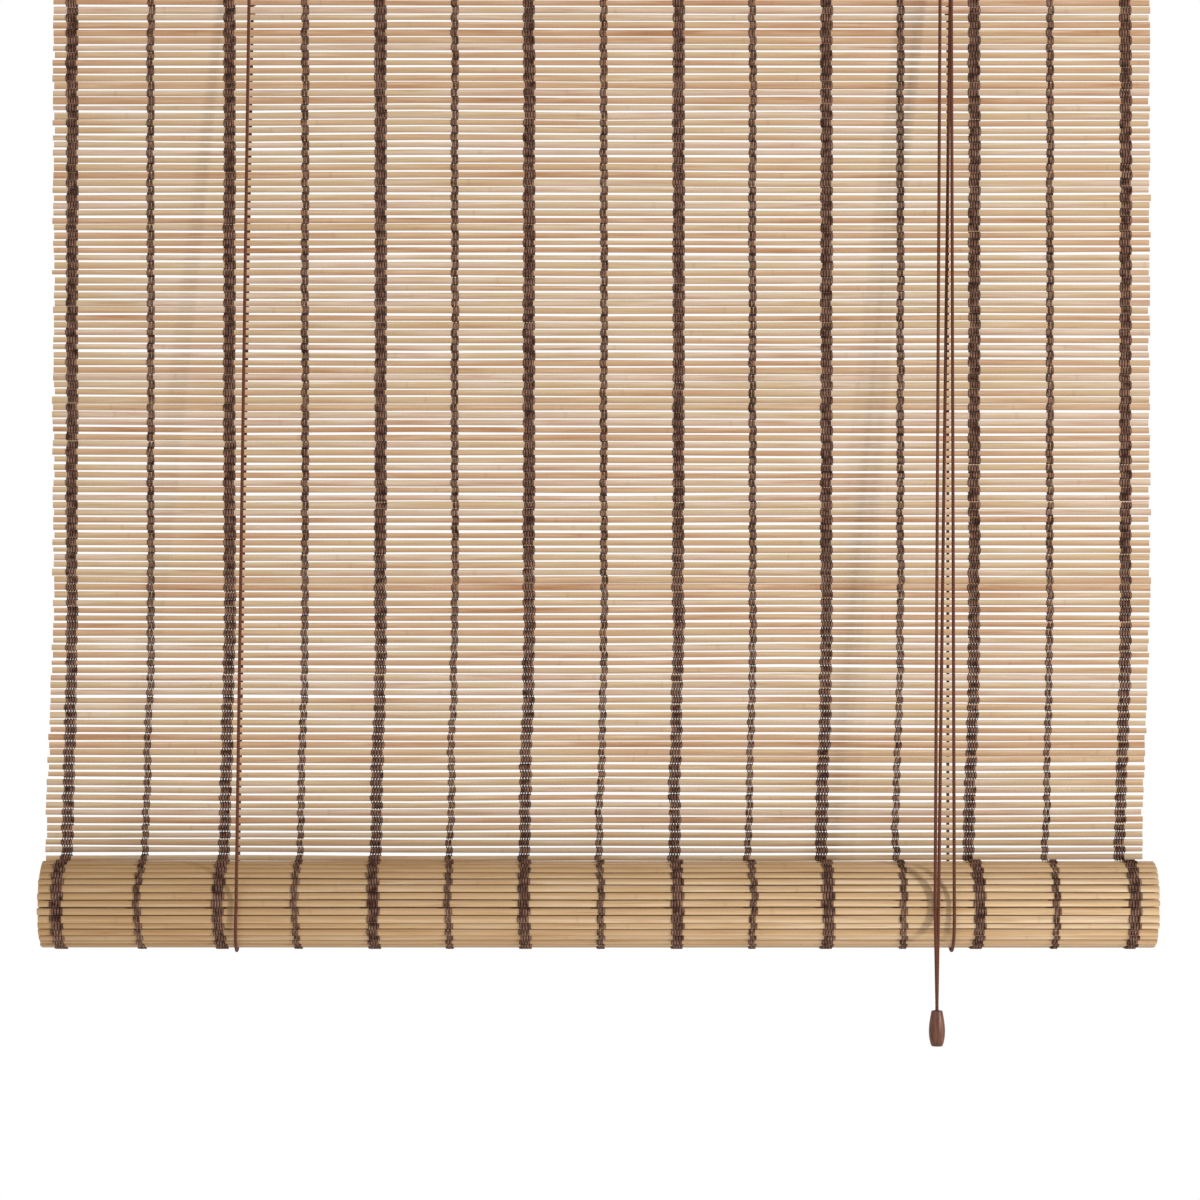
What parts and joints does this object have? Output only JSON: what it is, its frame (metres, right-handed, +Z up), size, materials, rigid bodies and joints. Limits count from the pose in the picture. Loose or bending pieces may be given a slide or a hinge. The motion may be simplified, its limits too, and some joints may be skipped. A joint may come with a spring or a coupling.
{
  "type": "bamboo roll up blind",
  "caption": "Wide blind of flat bamboo slats tied by brown yarn bands, hung from a wooden head rail and rolled up from below by lift cords over pulleys.",
  "frame": {"origin": "midway between the two hanging eyes, in the plane of the wall", "axes": "+X along the slats to the right of a viewer in the room, -Y towards the room, +Z up"},
  "size_m": [0.9, 0.0945, 0.9169],
  "materials": {
    "bamboo": "matt, natural bamboo",
    "rail_wood": "satin",
    "yarn": "matt spun yarn",
    "cord": "matt braided cord",
    "steel": "zinc plated",
    "wheel_plastic": "matt",
    "knob_wood": "satin, stained"
  },
  "bodies": {
    "head": {"front_batten": "rail_wood", "rear_batten": "rail_wood", "batten_screws": "steel", "left_hanger": "steel", "right_hanger": "steel", "hanger_screws": "steel", "left_bracket": "steel", "left_axle": "steel", "right_bracket": "steel", "right_axle": "steel", "bracket_screws": "steel", "left_eye": "steel", "right_eye": "steel", "left_knot": "cord", "right_knot": "cord", "hanging_slats": "bamboo", "hanging_thick_bands": "yarn", "hanging_thin_bands": "yarn", "left_rear_cord": "cord", "right_rear_cord": "cord", "left_front_cord": "cord", "right_front_cord": "cord", "cross_cord": "cord", "right_wrap": "cord", "left_pull_upper": "cord", "right_pull_upper": "cord"},
    "lift_loops": {"left_loop": "cord", "right_loop": "cord"},
    "roll": {"rolled_slats": "bamboo", "rolled_thick_bands": "yarn", "rolled_thin_bands": "yarn", "bottom_rod": "rail_wood"},
    "pull_end": {"left_pull_lower": "cord", "right_pull_lower": "cord", "pull_knob": "knob_wood"},
    "left_pulley": {"left_wheel": "wheel_plastic"},
    "front_pulley": {"front_wheel": "wheel_plastic"},
    "rear_pulley": {"rear_wheel": "wheel_plastic"}
  },
  "joints": [
    {"name": "roll_lift", "type": "slide", "parent": "head", "child": "lift_loops", "axis": [0, 0, 1], "range_m": [0, 0.4524], "deforming": ["hanging_slats", "hanging_thick_bands", "hanging_thin_bands", "left_rear_cord", "right_rear_cord", "left_front_cord", "right_front_cord", "left_pull_upper", "right_pull_upper"]},
    {"name": "roll_turn", "type": "hinge", "parent": "lift_loops", "child": "roll", "pos_m": [0, -0.0488, -0.7949], "axis": [1, 0, 0], "range_deg": [-721, 0]},
    {"name": "pull_slide", "type": "slide", "parent": "lift_loops", "child": "pull_end", "axis": [0, 0, 1], "range_m": [-1.3572, 0], "deforming": ["left_pull_lower", "right_pull_lower"]},
    {"name": "left_wheel_spin", "type": "hinge", "parent": "head", "child": "left_pulley", "pos_m": [-0.2815, -0.0291, -0.033], "axis": [0, 1, 0], "continuous": true},
    {"name": "front_wheel_spin", "type": "hinge", "parent": "head", "child": "front_pulley", "pos_m": [0.2815, -0.0356, -0.033], "axis": [0, 1, 0], "continuous": true},
    {"name": "rear_wheel_spin", "type": "hinge", "parent": "head", "child": "rear_pulley", "pos_m": [0.2815, -0.0291, -0.033], "axis": [0, 1, 0], "continuous": true}
  ],
  "couplings": [
    {"joint": "roll_turn", "follows": "roll_lift", "rad_per_m": -27.778},
    {"joint": "pull_slide", "follows": "roll_lift", "ratio": -3},
    {"joint": "left_wheel_spin", "follows": "roll_lift", "rad_per_m": 444.44},
    {"joint": "front_wheel_spin", "follows": "roll_lift", "rad_per_m": -444.44},
    {"joint": "rear_wheel_spin", "follows": "roll_lift", "rad_per_m": 444.44}
  ]
}
